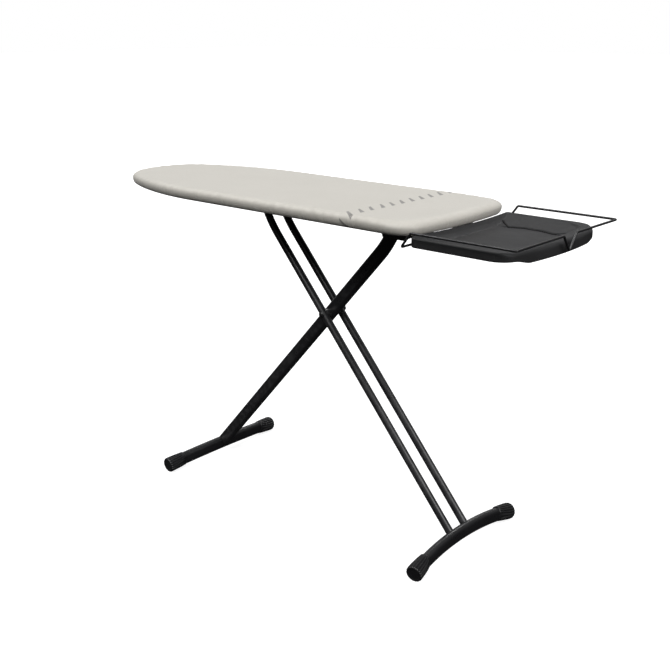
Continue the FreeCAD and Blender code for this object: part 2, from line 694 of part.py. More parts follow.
def rounded_rectangle(x0, x1, y0, y1, z, radius):
    face = Part.Face(Part.makePolygon([
        Vector(x0, y0, z), Vector(x1, y0, z), Vector(x1, y1, z), Vector(x0, y1, z),
        Vector(x0, y0, z)]))
    block = face.extrude(Z_AXIS)
    upright = [e for e in block.Edges if abs(e.tangentAt(e.FirstParameter).z) > 0.9]
    block = block.makeFillet(radius, upright)
    bottom = min(block.Faces, key=lambda f: f.CenterOfMass.z)
    return bottom.OuterWire


def tray_well(grow):
    """Space above the tray's floor: broad slopes on the board side and the far side."""
    floor = rounded_rectangle(TRAY_LEFT + 30 - grow, TRAY_RIGHT - 44 + grow,
                              -TRAY_HALF_WIDTH + 17 - grow, 106 + grow,
                              TRAY_FLOOR - grow, 22)
    lip = rounded_rectangle(TRAY_LEFT + 4 - grow, TRAY_RIGHT - 15 + grow,
                            -TRAY_HALF_WIDTH + 6 - grow, TRAY_HALF_WIDTH - 6 + grow,
                            TRAY_TOP - grow, 34)
    well = Part.makeLoft([floor, lip], True, True)
    return well.fuse(prism_at(lip, 6 + grow))


def prism_at(wire, height):
    return Part.Face(wire).extrude(Vector(0, 0, height))


def deep_lip():
    """Where the skirt hangs lower, in the middle of the tray's outer end."""
    x = TRAY_RIGHT - 42
    low = DEEP_HALF_WIDTH
    high = DEEP_HALF_WIDTH + DEEP_RAMP
    corners = [Vector(x, -high, TRAY_SKIRT), Vector(x, -low, TRAY_DEEP_SKIRT),
               Vector(x, low, TRAY_DEEP_SKIRT), Vector(x, high, TRAY_SKIRT)]
    return Part.Face(Part.makePolygon(corners + corners[:1])).extrude(Vector(60, 0, 0))


def iron_tray():
    """Moulded tray: thin dished top, skirt all round that is deeper at the outer end."""
    plan = tray_plan()
    body = prism(plan, TRAY_DEEP_SKIRT, TRAY_TOP)
    rim_edges = top_edges(body, TRAY_TOP)
    body = body.makeFillet(2.0, rim_edges)
    shallow = box(TRAY_LEFT - 20, TRAY_RIGHT + 1, -240, 240, TRAY_DEEP_SKIRT - 1, TRAY_SKIRT)
    shallow = shallow.cut(deep_lip())
    under = prism(inset(plan, TRAY_WALL), TRAY_DEEP_SKIRT - 1, TRAY_TOP - TRAY_WALL)
    under = under.cut(tray_well(TRAY_WALL))
    passage = box(TRAY_LEFT - 20, TRAY_LEFT + 20, STRAP_NEAR - 0.5, STRAP_FAR + 0.5,
                  TRAY_DEEP_SKIRT - 1, TRAY_FLOOR - TRAY_WALL)
    tray = body.cut(tray_well(0)).cut(under).cut(shallow).cut(passage)
    tray = tray.cut(screw_shanks(SCREW_RADIUS))
    return max(tray.Solids, key=lambda s: s.Volume)


def screw_points():
    seat = STRAP_LOW - STRAP_THICK
    columns = (TRAY_LEFT + 46, STRAP_RIGHT - 30)
    rows = (STRAP_NEAR + 12, STRAP_FAR - 12)
    return [Vector(x, y, seat) for x in columns for y in rows]


def screw_shanks(radius):
    """The four screws' shanks, from below the strap up into the tray's floor."""
    shanks = []
    for point in screw_points():
        shanks.append(Part.makeCylinder(radius, 6.0, point - Z_AXIS))
    return Part.makeCompound(shanks)


def tray_screws():
    """Four pan-head screws up through the strap into the tray's floor."""
    screws = []
    for point, shank in zip(screw_points(), screw_shanks(SCREW_RADIUS).Solids):
        head = Part.makeCylinder(4.5, 2.5, point - Z_AXIS * 2.5)
        screws.append(head.fuse(shank).removeSplitter())
    return Part.makeCompound(screws)


def rounded_path(points, radii):
    """Straight runs through the points with a tangent arc at each inner one."""
    edges = []
    last = points[0]
    for before, at, after, radius in zip(points, points[1:], points[2:], radii):
        a = unit(before - at)
        b = unit(after - at)
        half = math.acos(max(-1, min(1, a.dot(b)))) / 2
        cut = radius / math.tan(half)
        start = at + a * cut
        end = at + b * cut
        centre = at + unit(a + b) * (radius / math.sin(half))
        edges.append(Part.LineSegment(last, start).toShape())
        edges.append(arc_about(centre, radius, start, end))
        last = end
    edges.append(Part.LineSegment(last, points[-1]).toShape())
    return edges


def guard_wire():
    """Closed wire loop round the tray, with a small dip in the middle of its outer side."""
    y = -GUARD_HALF_WIDTH
    tip_flat = 2.2
    points = [
        Vector(GUARD_AXIS_X, 0, GUARD_AXIS_Z),
        Vector(GUARD_AXIS_X, y, GUARD_AXIS_Z),
        Vector(END_X + RAIL_START, y, RAIL_Z),
        Vector(GUARD_X, y, RAIL_Z),
        Vector(GUARD_X, -DIP_HALF, RAIL_Z),
        Vector(GUARD_X, -tip_flat, DIP_TIP_Z),
        Vector(GUARD_X, 0, DIP_TIP_Z),
    ]
    edges = rounded_path(points, [7.0, 7.0, 8.0, 5.0, 3.0])
    profile = Part.Wire(Part.Circle(points[0], Y_AXIS, WIRE_RADIUS).toShape())
    half = swept(edges, profile)
    return half.fuse(mirrored(half)).removeSplitter()


def guard_collars():
    """Rings pressed on the guard's cross wire, one outside each lug."""
    axis = Vector(GUARD_AXIS_X, 0, GUARD_AXIS_Z)
    rings = []
    for y0 in (STRAP_NEAR - 6.5, STRAP_FAR + 0.5):
        ring = cross_pin(axis, 6.0, y0, y0 + 6)
        rings.append(ring.cut(cross_pin(axis, WIRE_RADIUS, y0 - 1, y0 + 8)))
    return Part.makeCompound(rings)


# ---- build --------------------------------------------------------------------------
def build_board():
    plan = board_plan()
    write("board_cover", board_cover(plan))
    write("foam_pad", foam_pad(plan))
    write("mesh_panel", mesh_panel(plan))
    write("rim_frame", rim_frame(plan))
    write("cross_brace_nose", cross_brace(plan, RACK_LEFT + BRACE_WIDTH / 2))
    write("cross_brace_middle", cross_brace(plan, RACK_RIGHT - BRACE_WIDTH / 2))
    write("cross_brace_tray_end", cross_brace(plan, LEG_TOP.x))
    rack = height_rack()
    write("height_rack_near", rack)
    write("height_rack_far", mirrored(rack))
    write("lever_hangers", lever_hangers())
    write("lever_spring", lever_spring())
    write("hinge_housing", hinge_housing())
    write("leg_hinge_bracket", leg_hinge_bracket())
    write("hinge_pin", hinge_pin())
    write("hinge_pin_clips", hinge_pin_clips())
    write("tray_carrier", tray_carrier())
    write("iron_tray", iron_tray())
    write("tray_screws", tray_screws())


def build_moving_small():
    write("lever_shaft", lever_shaft())
    write("lock_comb", lock_comb())
    write("release_lever", release_lever())
    write("lever_grip", lever_grip())
    write("guard_wire", guard_wire())
    write("guard_collars", guard_collars())


def build_oval_leg():
    lean = unit(Vector(REAR_FOOT_SPREAD, 0, PIVOT_Z))
    middle, end = foot_points(-REAR_FOOT_SPREAD, REAR_FOOT_ARCH, lean)
    bar = bar_shape(middle, end, FOOT_HEIGHT, FOOT_WIDTH)
    write("inner_leg_tube", inner_leg_tube(middle, bar))
    write("inner_leg_plug", leg_plug(middle))
    write("rear_foot_bar", foot_bar(middle, end))
    cap = foot_cap(middle, end)
    write("rear_foot_cap_near", cap)
    write("rear_foot_cap_far", mirrored(cap))


def build_twin_leg():
    lean = unit(Vector(-FRONT_FOOT_SPREAD, 0, PIVOT_Z))
    middle, end = foot_points(FRONT_FOOT_SPREAD, FRONT_FOOT_ARCH, lean)
    bar = bar_shape(middle, end, FOOT_HEIGHT, FOOT_WIDTH)
    write("twin_tube_near", twin_tube(middle, bar, -1))
    write("twin_tube_far", twin_tube(middle, bar, 1))
    write("twin_tube_plugs", twin_tube_plugs(middle))
    write("front_foot_bar", foot_bar(middle, end))
    cap = foot_cap(middle, end)
    write("front_foot_cap_near", cap)
    write("front_foot_cap_far", mirrored(cap))
    write("slider_rod", slider_rod())
    write("slider_end_caps", slider_end_caps())
    write("pivot_bolt", pivot_bolt())
    write("pivot_nut", pivot_nut())
    far_tube = round_leg(middle, TUBE_RADIUS)
    far_tube.translate(Vector(0, TWIN_OFFSET, 0))
    write("pivot_bushes", pivot_bushes(far_tube))


def main():
    os.makedirs(OUT, exist_ok=True)
    build_board()
    build_moving_small()
    build_oval_leg()
    build_twin_leg()


main()
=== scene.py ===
"""Ironing board: fabric-covered top on crossed legs, with an iron tray and a wire guard."""
import bpy
import json
import math
import random
import numpy as np
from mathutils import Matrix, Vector


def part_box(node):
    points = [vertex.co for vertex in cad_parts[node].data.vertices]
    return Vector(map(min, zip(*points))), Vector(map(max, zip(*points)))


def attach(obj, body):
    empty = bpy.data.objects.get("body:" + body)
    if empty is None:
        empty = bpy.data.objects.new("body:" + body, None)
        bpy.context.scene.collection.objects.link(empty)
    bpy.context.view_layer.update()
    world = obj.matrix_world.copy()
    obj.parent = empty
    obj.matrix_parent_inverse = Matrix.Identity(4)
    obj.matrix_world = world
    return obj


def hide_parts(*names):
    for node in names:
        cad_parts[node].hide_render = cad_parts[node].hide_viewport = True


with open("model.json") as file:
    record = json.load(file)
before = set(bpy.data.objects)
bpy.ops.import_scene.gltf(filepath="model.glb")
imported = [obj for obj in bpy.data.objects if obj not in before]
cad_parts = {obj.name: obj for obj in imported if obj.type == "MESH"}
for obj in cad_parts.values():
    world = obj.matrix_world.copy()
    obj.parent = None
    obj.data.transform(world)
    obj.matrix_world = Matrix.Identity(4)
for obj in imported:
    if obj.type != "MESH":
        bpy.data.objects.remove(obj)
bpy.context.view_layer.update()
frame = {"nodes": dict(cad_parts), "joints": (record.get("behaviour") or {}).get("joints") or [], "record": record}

# ---- places taken from the frame ----------------------------------------------------
COVER_LO, COVER_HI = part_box("board_cover")
TRAY_LO, TRAY_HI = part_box("iron_tray")
PAD_LO, PAD_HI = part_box("foam_pad")
NOSE_X = COVER_LO.x        # tip of the rounded end
END_X = COVER_HI.x         # middle of the blunt end, towards the tray
HALF_W = COVER_HI.y
TOP_Z = COVER_HI.z
BOTTOM_Z = COVER_LO.z
JOINTS = {j["name"]: j for j in frame["joints"]}
CROSS = Vector(JOINTS["crossing"]["pos_m"])     # the bolt where the legs cross
TAU = 2 * math.pi


# ---- small helpers ------------------------------------------------------------------
def smooth(t):
    """Smooth step from 0 to 1."""
    t = np.clip(t, 0.0, 1.0)
    return t * t * (3 - 2 * t)


def new_mesh(name, verts, faces, uvs=None, shade=True):
    """Object from points and faces; uvs holds one pair for each vertex."""
    mesh = bpy.data.meshes.new(name)
    mesh.from_pydata([tuple(v) for v in verts], [], faces)
    mesh.validate()
    if uvs is not None:
        layer = mesh.uv_layers.new(name="cloth")
        index = np.zeros(len(mesh.loops), np.int32)
        mesh.loops.foreach_get("vertex_index", index)
        layer.data.foreach_set("uv", np.asarray(uvs, np.float32)[index].ravel())
    if shade:
        mesh.polygons.foreach_set("use_smooth", [True] * len(mesh.polygons))
    obj = bpy.data.objects.new(name, mesh)
    bpy.context.scene.collection.objects.link(obj)
    mesh.update()
    return obj


def ring_faces(rings, count, closed=True):
    """Quads between successive rings of count points."""
    faces = []
    steps = count if closed else count - 1
    for r in range(rings - 1):
        a, b = r * count, (r + 1) * count
        for i in range(steps):
            j = (i + 1) % count
            faces.append((a + i, a + j, b + j, b + i))
    return faces


def wave_noise(s, period, seed, lengths):
    """Smooth periodic noise along a loop: sines with whole numbers of waves."""
    rng = random.Random(seed)
    total = np.zeros_like(s)
    for length, weight in lengths:
        for _ in range(4):
            waves = max(1, round(period / (length * rng.uniform(0.75, 1.3))))
            total += weight * np.sin(TAU * waves * s / period + rng.uniform(0, TAU)) / 2
    return total


def apply_modifiers(obj):
    """Bake every modifier of obj into its mesh."""
    bpy.context.view_layer.update()
    graph = bpy.context.evaluated_depsgraph_get()
    mesh = bpy.data.meshes.new_from_object(obj.evaluated_get(graph))
    old = obj.data
    obj.modifiers.clear()
    obj.data = mesh
    bpy.data.meshes.remove(old)


def weld(obj, distance=1e-5):
    """Merge the points that two rings share."""
    modifier = obj.modifiers.new("weld", "WELD")
    modifier.merge_threshold = distance
    apply_modifiers(obj)


# ---- plan of the board --------------------------------------------------------------
TIP_R = 0.240              # the nose's blunt tip
SHOULDER_R = 0.140         # between the tip and the flank
FLANK_R = 0.810            # the long curve from the nose to the straight side
CORNER_R = 0.070
END_R = 1.250              # the slightly curved blunt end
FLANK_X = NOSE_X + 0.424   # where the straight side starts
SPINE_FROM = NOSE_X + 0.19     # the middle line that the top's rings shrink onto
SPINE_TO = END_X - 0.17


def circles_meet(c1, r1, c2, r2):
    """The meeting point of two circles that lies nearer the nose."""
    span = c2 - c1
    along = (r1 * r1 - r2 * r2 + span.length ** 2) / (2 * span.length)
    across = math.sqrt(r1 * r1 - along * along)
    foot = c1 + span.normalized() * along
    side = Vector((-span.y, span.x)).normalized()
    return min([foot + side * across, foot - side * across], key=lambda p: p.x)


def half_plan():
    """Arcs (centre, radius, start angle, end angle) and one line, nose to tray end."""
    tip = Vector((NOSE_X + TIP_R, 0))
    flank = Vector((FLANK_X, HALF_W - FLANK_R))
    end = Vector((END_X - END_R, 0))
    shoulder = circles_meet(tip, TIP_R - SHOULDER_R, flank, FLANK_R - SHOULDER_R)
    corner_y = HALF_W - CORNER_R
    corner = Vector((end.x + math.sqrt((END_R - CORNER_R) ** 2 - corner_y ** 2), corner_y))
    a1 = math.atan2(*(shoulder - tip).yx)
    a2 = math.atan2(*(shoulder - flank).yx)
    a3 = math.atan2(*(corner - end).yx)
    return [
        ("arc", tip, TIP_R, math.pi, a1),
        ("arc", shoulder, SHOULDER_R, a1, a2),
        ("arc", flank, FLANK_R, a2, math.pi / 2),
        ("line", Vector((FLANK_X, HALF_W)), Vector((corner.x, HALF_W))),
        ("arc", corner, CORNER_R, math.pi / 2, a3),
        ("arc", end, END_R, a3, 0.0),
    ]


def sample_plan(pieces, count):
    """Evenly spaced points and outward normals round a plan given by its far half."""
    points, normals = [], []
    for piece in pieces:
        if piece[0] == "arc":
            _, centre, radius, start, stop = piece
            steps = max(8, int(abs(stop - start) * radius / 0.0005))
            for k in range(steps + 1):
                angle = start + (stop - start) * k / steps
                normal = Vector((math.cos(angle), math.sin(angle)))
                points.append(centre + normal * radius)
                normals.append(normal)
        else:
            _, a, b = piece
            steps = 400
            for k in range(steps + 1):
                points.append(a.lerp(b, k / steps))
                normals.append(Vector((0, 1)))
    mirrored = (1, -1)
    points = np.vstack([points, np.array(points)[::-1] * mirrored])
    normals = np.vstack([normals, np.array(normals)[::-1] * mirrored])
    gaps = np.hypot(*np.diff(points, axis=0).T)
    arc = np.concatenate([[0], np.cumsum(gaps)])
    at = np.arange(count) * arc[-1] / count
    pick = lambda column: np.interp(at, arc, column)
    p = np.stack([pick(points[:, 0]), pick(points[:, 1])], 1)
    n = np.stack([pick(normals[:, 0]), pick(normals[:, 1])], 1)
    n /= np.linalg.norm(n, axis=1)[:, None]
    return p, n, at, arc[-1]


def spine_points(plan):
    """For each point of the plan, the point of the middle line that it shrinks onto."""
    return np.stack([np.clip(plan[:, 0], SPINE_FROM, SPINE_TO), np.zeros(len(plan))], 1)


# ---- materials ----------------------------------------------------------------------
class Nodes:
    """A few lines for building a node tree."""

    def __init__(self, name):
        self.mat = bpy.data.materials.new(name)
        self.mat.use_nodes = True
        self.tree = self.mat.node_tree
        self.bsdf = self.tree.nodes["Principled BSDF"]

    def add(self, kind, settings=None, **inputs):
        node = self.tree.nodes.new(kind)
        for key, value in (settings or {}).items():
            setattr(node, key, value)
        for key, value in inputs.items():
            self.put(node, key.replace("_", " "), value)
        return node

    def put(self, node, key, value):
        """Set an input, given by name or number, to a constant or link it to a socket."""
        socket = node.inputs[int(key)] if key.isdigit() else node.inputs[key]
        if isinstance(value, bpy.types.NodeSocket):
            self.tree.links.new(value, socket)
        else:
            socket.default_value = value

    def math(self, operation, a, b=0.0):
        node = self.add("ShaderNodeMath", {"operation": operation})
        self.put(node, "0", a)
        self.put(node, "1", b)
        return node.outputs[0]

    def noise(self, vector, scale, detail=2.0, rough=0.5):
        node = self.add("ShaderNodeTexNoise")
        self.put(node, "Vector", vector)
        self.put(node, "Scale", scale)
        self.put(node, "Detail", detail)
        self.put(node, "Roughness", rough)
        return node.outputs["Fac"]

    def ramp(self, value, low, high, out_low, out_high):
        """Smooth step from out_low, below low, to out_high, above high."""
        node = self.add("ShaderNodeMapRange", {"interpolation_type": "SMOOTHSTEP"})
        for key, v in (("Value", value), ("From Min", low), ("From Max", high),
                       ("To Min", out_low), ("To Max", out_high)):
            self.put(node, key, v)
        return node.outputs[0]

    def mix(self, factor, a, b):
        node = self.add("ShaderNodeMix", {"data_type": "RGBA"})
        self.put(node, "0", factor)
        for key, value in (("6", a), ("7", b)):
            self.put(node, key, value)
        return node.outputs[2]

    def bump(self, height, strength, distance, normal=None):
        node = self.add("ShaderNodeBump")
        self.put(node, "Height", height)
        self.put(node, "Strength", strength)
        self.put(node, "Distance", distance)
        if normal is not None:
            self.put(node, "Normal", normal)
        return node.outputs[0]


def colour(r, g, b):
    return (r, g, b, 1.0)


def paler(base, gain, lift):
    return colour(*[min(1, c * gain + lift) for c in base])


def scaled(n, vector, scale):
    node = n.add("ShaderNodeMapping")
    n.put(node, "Vector", vector)
    n.put(node, "Scale", scale)
    return node.outputs[0]


def worn_black(name, base, roughness, grain, grain_depth, wear, painted_groove_shade=False):
    """Black coat or plastic: fine grain, faint dust, paler and smoother along its edges.

    When asked for, a point attribute of the mesh paints shade into the creases of a moulding: near-black colour
    and weaker specular there.
    """
    n = Nodes(name)
    place = n.add("ShaderNodeTexCoord").outputs["Object"]
    fine = n.noise(place, grain, 3.0, 0.6)
    broad = n.noise(place, 9.0, 3.0, 0.55)
    edge = n.add("ShaderNodeNewGeometry").outputs["Pointiness"]
    rub = n.ramp(edge, 0.52, 0.62, 0.0, wear)
    scuff = n.math("MULTIPLY", rub, n.ramp(n.noise(place, 60.0, 4.0), 0.42, 0.62, 0.2, 1.0))
    dust = n.mix(n.ramp(broad, 0.35, 0.7, 0.0, 0.5), colour(*base), paler(base, 1.35, 0.002))
    shade = n.mix(scuff, dust, paler(base, 2.2, 0.03))
    if painted_groove_shade:
        # painted shade: the groove's line is mixed to near-black and its specular lowered, standing in for its
        # shadow
        line = n.add("ShaderNodeAttribute", {"attribute_name": "painted_groove_shade"}).outputs["Fac"]
        shade = n.mix(line, shade, colour(0.002, 0.002, 0.002))
        n.put(n.bsdf, "Specular IOR Level", n.ramp(line, 0.2, 0.9, 0.15, 0.02))
    n.put(n.bsdf, "Base Color", shade)
    rough = n.ramp(broad, 0.3, 0.7, roughness - 0.05, roughness + 0.06)
    n.put(n.bsdf, "Roughness", n.math("SUBTRACT", rough, n.math("MULTIPLY", scuff, 0.1)))
    n.put(n.bsdf, "Normal", n.bump(fine, 0.35, grain_depth))
    return n.mat


def zinc(name):
    """Zinc-plated steel with fine turning marks and cloudy passivation."""
    n = Nodes(name)
    place = n.add("ShaderNodeTexCoord").outputs["Object"]
    lines = n.noise(scaled(n, place, (900.0, 60.0, 900.0)), 1.0, 2.0)
    cloud = n.noise(place, 70.0, 3.0)
    tint = n.mix(n.ramp(cloud, 0.35, 0.65, 0.0, 1.0), colour(0.42, 0.42, 0.43),
                 colour(0.6, 0.59, 0.55))
    n.put(n.bsdf, "Base Color", tint)
    n.put(n.bsdf, "Metallic", 1.0)
    n.put(n.bsdf, "Roughness", n.ramp(lines, 0.3, 0.7, 0.26, 0.42))
    n.put(n.bsdf, "Normal", n.bump(lines, 0.2, 0.00005))
    return n.mat


THREAD = 0.0008
COTTON = (0.514, 0.493, 0.446)
COTTON_PALE = (0.561, 0.539, 0.490)
COTTON_CLOUD = (0.500, 0.480, 0.432)
INK = (0.13, 0.125, 0.12)
MARK_X = END_X - 0.20575   # the row of printed dashes across the cover
MARK_PITCH = 0.0417
MARK_START = -0.477        # where the first step of the row begins, across the cover
MARK_REACH = (0.0165, 0.0195)      # from the row's middle: full ink, no ink
MARK_WIDTH = (0.11, 0.17)          # half widths as shares of a step: full ink, no ink
MARK_LEAN = 20.0           # steps sideways for each metre along the board
MARK_FLARE = 3.0           # steps wider for each metre along the board


def printed_dashes(n, uv, u, v):
    """One dash in each step across the cloth, leaning, wider at one end, with worn ends."""
    step = n.math("DIVIDE", n.math("SUBTRACT", v, MARK_START), MARK_PITCH)
    wobble = n.math("SUBTRACT", n.noise(uv, 14.0, 0.0), 0.5)
    shifted = n.math("ADD", step, n.math("MULTIPLY", wobble, 0.2))
    past = n.math("SUBTRACT", u, MARK_X)
    lean = n.math("MULTIPLY", past, MARK_LEAN)
    cell = n.math("SUBTRACT", n.math("FRACT", n.math("ADD", shifted, lean)), 0.5)
    wedge = n.math("SUBTRACT", n.math("ABSOLUTE", cell), n.math("MULTIPLY", past, MARK_FLARE))
    thick = n.ramp(wedge, *MARK_WIDTH, 1.0, 0.0)
    long = n.ramp(n.math("ABSOLUTE", past), *MARK_REACH, 1.0, 0.0)
    ink = n.ramp(n.noise(uv, 420.0, 2.0), 0.38, 0.58, 0.6, 1.0)
    return n.math("MULTIPLY", n.math("MULTIPLY", thick, long), ink)


def cover_cloth(name):
    """Plain-woven beige cotton with a row of small grey dashes printed across it."""
    n = Nodes(name)
    uv = n.add("ShaderNodeTexCoord").outputs["UV"]
    split = n.add("ShaderNodeSeparateXYZ")
    n.put(split, "Vector", uv)
    u, v = split.outputs[0], split.outputs[1]
    warp = n.math("SINE", n.math("MULTIPLY", u, TAU / THREAD))
    weft = n.math("SINE", n.math("MULTIPLY", v, TAU / THREAD))
    weave = n.math("MULTIPLY", warp, weft)
    along = n.noise(scaled(n, uv, (30.0, 900.0, 1.0)), 1.0)
    across = n.noise(scaled(n, uv, (900.0, 30.0, 1.0)), 1.0)
    streaks = n.math("ADD", along, across)
    broad = n.noise(uv, 7.0, 3.0)
    base = n.mix(n.ramp(streaks, 0.75, 1.25, 0.0, 1.0), colour(*COTTON), colour(*COTTON_PALE))
    base = n.mix(n.ramp(broad, 0.35, 0.7, 0.0, 0.35), base, colour(*COTTON_CLOUD))
    mark = n.math("MULTIPLY", printed_dashes(n, uv, u, v), 0.95)
    n.put(n.bsdf, "Base Color", n.mix(mark, base, colour(*INK)))
    n.put(n.bsdf, "Roughness", n.ramp(streaks, 0.75, 1.25, 0.46, 0.56))
    n.put(n.bsdf, "Specular IOR Level", 0.5)
    n.put(n.bsdf, "Sheen Weight", 0.15)
    n.put(n.bsdf, "Sheen Roughness", 0.5)
    soft = n.bump(broad, 0.25, 0.002)
    n.put(n.bsdf, "Normal", n.bump(n.math("ADD", weave, streaks), 0.3, 0.00012, soft))
    return n.mat


def felt(name):
    """Pale needled felt, fuzzy and a little clumped."""
    n = Nodes(name)
    place = n.add("ShaderNodeTexCoord").outputs["Object"]
    fibre = n.noise(place, 900.0, 4.0, 0.7)
    clump = n.noise(place, 60.0, 3.0)
    n.put(n.bsdf, "Base Color", n.mix(n.ramp(clump, 0.35, 0.65, 0.0, 1.0),
                                      colour(0.56, 0.55, 0.52), colour(0.7, 0.69, 0.66)))
    n.put(n.bsdf, "Roughness", n.ramp(fibre, 0.3, 0.7, 0.9, 1.0))
    n.put(n.bsdf, "Sheen Weight", 0.3)
    n.put(n.bsdf, "Normal", n.bump(n.math("ADD", fibre, clump), 0.5, 0.0006))
    return n.mat


MATS = {
    "cover_fabric": cover_cloth("cover_cotton"),
    "pad_foam": felt("pad_felt"),
    "black_metal": worn_black("black_powder_coat", (0.009, 0.009, 0.010), roughness=0.31,
                              grain=1400.0, grain_depth=0.00005, wear=0.5),
    "zinc_steel": zinc("zinc_plated_steel"),
    # the tray's plastic carries the painted shade line along its groove
    "tray_plastic": worn_black("grained_dark_plastic", (0.023, 0.023, 0.024), roughness=0.50,
                               grain=900.0, grain_depth=0.00012, wear=0.30, painted_groove_shade=True),
    "black_plastic": worn_black("black_moulded_plastic", (0.010, 0.010, 0.011), roughness=0.26,
                                grain=700.0, grain_depth=0.00006, wear=0.5),
}


def finish_with(obj, slot_name):
    """Give obj the one material of its slot."""
    obj.data.materials.clear()
    obj.data.materials.append(MATS[slot_name])


def dress_cad_nodes():
    """Every CAD node gets the material of its slot in the record."""
    slots = {s["node"]: s["material_slot"] for s in frame["record"]["subparts"]}
    for name, obj in frame["nodes"].items():
        finish_with(obj, slots[name])


# ---- the fabric cover ---------------------------------------------------------------
COVER_COUNT = 1600
COVER_INNER = 0.055        # the top's flat outer zone starts this far inside the plan
COVER_THICK = 0.0012
COVER_GAP = 0.0002         # the cloth lies this far below the CAD cover's top
EDGE_W = 0.0145            # roll-off from the top to the side: width and height
CREASE_H = 0.0155
SOFT_W = 0.011             # what the soft ends add to them
SOFT_H = 0.0015
TURN_W = 0.0140            # how far the side draws in below
HEM_IN = 0.034             # where the hem ends, inside the plan
HEM_DROP = 0.0003          # the hem lies this far below the CAD cover's underside
EDGE_STEPS = 10
TURN_STEPS = 14
HEM_STEPS = 6
TOP_RINGS = 10
FLAT_RINGS = 9             # rings of the flat outer zone, before the roll-off
PUCKER_DEPTH = 0.0010      # dents in the side, where the hem gathers it
SCALLOP_DEPTH = 0.0007     # slow dips along the top's edge


def edge_profile(soft):
    """Insets and heights down the side: roll-off, barrel-shaped band, turn under, hem.

    soft is 0 on the flanks and up to 1 round the two ends, where the roll-off is wider.
    """
    top = TOP_Z - COVER_GAP
    low = BOTTOM_Z - HEM_DROP
    edge = EDGE_W + SOFT_W * soft
    crease = CREASE_H + SOFT_H * soft
    level = np.full(len(soft), top)
    steps = []
    for k in range(FLAT_RINGS):
        steps.append((COVER_INNER + (edge - COVER_INNER) * k / (FLAT_RINGS - 1), level))
    for k in range(1, EDGE_STEPS + 1):
        a = math.pi / 2 * k / EDGE_STEPS
        steps.append((edge * (1 - math.sin(a)), top - crease * (1 - math.cos(a))))
    waist = top - crease
    for k in range(1, TURN_STEPS + 1):
        a = math.pi / 2 * k / TURN_STEPS
        inset = np.full(len(soft), TURN_W * (1 - math.cos(a)))
        steps.append((inset, waist - (waist - low) * math.sin(a)))
    for k in range(1, HEM_STEPS + 1):
        inset = TURN_W + (HEM_IN - TURN_W) * k / HEM_STEPS
        steps.append((np.full(len(soft), inset), np.full(len(soft), low)))
    return np.array(steps)


def roll_off(x):
    """How much wider the padding rolls off: 1 at the tray end, 0.3 at the nose."""
    return smooth((x - (END_X - 0.17)) / 0.12) + 0.3 * smooth((NOSE_X + 0.22 - x) / 0.18)


def tray_end(x):
    """0 along the board, 1 round its blunt end."""
    return smooth((x - (END_X - 0.13)) / 0.08)


def gather(arc, period, x):
    """Fine puckers that the drawn hem makes round the side, calmer at the tray end."""
    fine = wave_noise(arc, period, 3, [(0.0075, 0.45), (0.012, 0.65), (0.022, 0.45)])
    patch = 0.55 + 0.45 * wave_noise(arc, period, 8, [(0.11, 0.6)])
    return fine * np.clip(patch, 0.15, 1.2) * (1 - 0.75 * tray_end(x))


def profile_run(profile):
    """Length of cloth from the profile's first ring to each of its rings."""
    mean = profile.mean(axis=2)
    return np.concatenate([[0], np.cumsum(np.hypot(*np.diff(mean, axis=0).T))])


def make_cover():
    """The cover, and the length of cloth from its flat outer zone to the end of its hem."""
    plan, normal, arc, period = sample_plan(half_plan(), COVER_COUNT)
    profile = edge_profile(roll_off(plan[:, 0]))
    run = profile_run(profile)
    spine = spine_points(plan)
    inner = plan - normal * COVER_INNER
    puckers = gather(arc, period, plan[:, 0])
    scallop = wave_noise(arc, period, 5, [(0.045, 0.5), (0.028, 0.35)])
    scallop *= 1 - 0.7 * tray_end(plan[:, 0])
    verts, uvs = [], []
    for k in range(TOP_RINGS):
        ring = inner + (spine - inner) * (1 - k / TOP_RINGS)
        z = np.full(COVER_COUNT, TOP_Z - COVER_GAP)
        verts.append(np.column_stack([ring, z]))
        uvs.append(ring)
    edge = FLAT_RINGS - 1
    side = 0.45 * smooth((run - run[edge]) / 0.022) + 0.55 * smooth((run - run[edge + 8]) / 0.02)
    for k, (inset, z) in enumerate(profile):
        near = math.exp(-((run[k] - run[edge + 3]) / 0.010) ** 2)
        on_side = k < len(run) - 1 - HEM_STEPS
        depth = PUCKER_DEPTH * side[k] * (puckers - 1.2) * on_side
        drop = SCALLOP_DEPTH * near * (scallop - 1.0)
        ring = plan - normal * inset[:, None]
        moved = ring + normal * (np.minimum(depth, 0) + 0.8 * np.minimum(drop, 0))[:, None]
        height = z + np.minimum(drop, 0)
        verts.append(np.column_stack([moved, height]))
        uvs.append(plan - normal * (COVER_INNER - run[k]))
    faces = ring_faces(len(verts), COVER_COUNT)
    cover = new_mesh("fabric_cover", np.vstack(verts), faces, np.vstack(uvs))
    weld(cover)
    thick = cover.modifiers.new("thickness", "SOLIDIFY")
    thick.thickness = COVER_THICK
    thick.offset = -1.0
    apply_modifiers(cover)
    return cover, run[-1]


# ---- the padding under the cover ----------------------------------------------------
PAD_COUNT = 700
PAD_RINGS = 14
PAD_GAP = 0.0004           # clear of the cover above
PAD_LIFT = 0.0003          # clear of the steel panel below: at the edge, in the middle
PAD_MIDDLE_LIFT = 0.0005
PAD_WAVE = 0.0003          # how uneven the felt is
PAD_TUCK = 0.012           # flat strip round the underside


